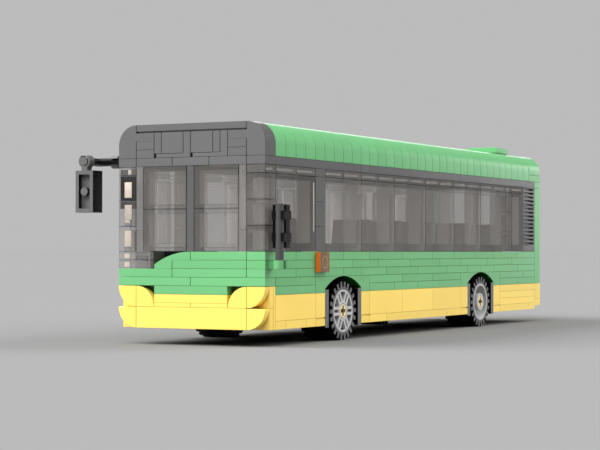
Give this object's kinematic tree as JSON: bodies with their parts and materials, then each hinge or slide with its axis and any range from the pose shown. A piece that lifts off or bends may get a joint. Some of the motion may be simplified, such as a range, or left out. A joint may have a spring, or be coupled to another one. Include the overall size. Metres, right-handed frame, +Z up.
{
  "type": "toy city bus",
  "caption": "Brick-built toy city bus: green and yellow walls, smoke glazing, rounded roof edges, mirrors that swing on clips and wheels that turn on pins.",
  "frame": {"origin": "on the ground under the middle of the body, halfway along it and on its centre line", "axes": "+X forward to the nose, +Y to the bus's left, +Z up"},
  "size_m": [0.2983, 0.0854, 0.0862],
  "materials": {
    "green_plastic": "gloss, mid green",
    "yellow_plastic": "gloss, warm yellow",
    "grey_plastic": "gloss, dark grey",
    "black_plastic": "gloss, black",
    "smoke_clear": "clear, smoke tint",
    "orange_clear": "clear, orange",
    "red_clear": "clear, red",
    "tyre_rubber": "soft rubber",
    "silver_plastic": "satin, light grey",
    "tan_plastic": "gloss, tan"
  },
  "bodies": {
    "bus": {"arch_liners": "grey_plastic", "axle_bricks": "black_plastic", "clear_posts": "smoke_clear", "cornice": "grey_plastic", "doors": "smoke_clear", "driver_place": "black_plastic", "floor_plates": "black_plastic", "front_clear_plates": "smoke_clear", "front_cornice": "grey_plastic", "front_green": "green_plastic", "front_sign": "grey_plastic", "front_slope": "green_plastic", "green_walls": "green_plastic", "grey_posts": "grey_plastic", "header_plates": "smoke_clear", "indicators": "orange_clear", "left_bar": "grey_plastic", "left_clip": "green_plastic", "nose_backing": "yellow_plastic", "nose_centre": "yellow_plastic", "nose_tiles": "yellow_plastic", "rear_bumper": "yellow_plastic", "rear_grille": "black_plastic", "rear_wall": "green_plastic", "rear_window": "smoke_clear", "right_arm": "black_plastic", "right_clip": "grey_plastic", "roof_corners_front": "grey_plastic", "roof_corners_rear": "green_plastic", "roof_edges_left": "green_plastic", "roof_edges_right": "green_plastic", "roof_plates": "green_plastic", "roof_tiles": "green_plastic", "roof_unit": "green_plastic", "seats": "black_plastic", "side_grille": "grey_plastic", "side_windows": "smoke_clear", "steering_wheel": "black_plastic", "tail_lamps": "red_clear", "wheel_arches": "green_plastic", "wheel_wells": "black_plastic", "windscreen": "smoke_clear", "windscreen_posts": "grey_plastic", "yellow_walls": "yellow_plastic"},
    "wheel_front_left": {"tyre_front_left": "tyre_rubber", "rim_front_left": "silver_plastic", "pin_front_left": "tan_plastic"},
    "wheel_front_right": {"tyre_front_right": "tyre_rubber", "rim_front_right": "silver_plastic", "pin_front_right": "tan_plastic"},
    "wheel_rear_left": {"tyre_rear_left": "tyre_rubber", "rim_rear_left": "silver_plastic", "pin_rear_left": "tan_plastic"},
    "wheel_rear_right": {"tyre_rear_right": "tyre_rubber", "rim_rear_right": "silver_plastic", "pin_rear_right": "tan_plastic"},
    "left_mirror": {"mirror_left": "black_plastic"},
    "right_mirror": {"mirror_right": "grey_plastic"}
  },
  "joints": [
    {"name": "wheel_front_left_turn", "type": "hinge", "parent": "bus", "child": "wheel_front_left", "pos_m": [0.08, 0.0247, 0.0116], "axis": [0, 1, 0], "continuous": true},
    {"name": "wheel_front_right_turn", "type": "hinge", "parent": "bus", "child": "wheel_front_right", "pos_m": [0.08, -0.0247, 0.0116], "axis": [0, 1, 0], "continuous": true},
    {"name": "wheel_rear_left_turn", "type": "hinge", "parent": "bus", "child": "wheel_rear_left", "pos_m": [-0.064, 0.0247, 0.0116], "axis": [0, 1, 0], "continuous": true},
    {"name": "wheel_rear_right_turn", "type": "hinge", "parent": "bus", "child": "wheel_rear_right", "pos_m": [-0.064, -0.0247, 0.0116], "axis": [0, 1, 0], "continuous": true},
    {"name": "left_mirror_swing", "type": "hinge", "parent": "bus", "child": "left_mirror", "pos_m": [0.14, 0.0358, 0.044], "axis": [0, 0, -1], "range_deg": [0, 120]},
    {"name": "right_mirror_swing", "type": "hinge", "parent": "bus", "child": "right_mirror", "pos_m": [0.1476, -0.043, 0.0694], "axis": [1, 0, 0], "range_deg": [-60, 60]}
  ]
}
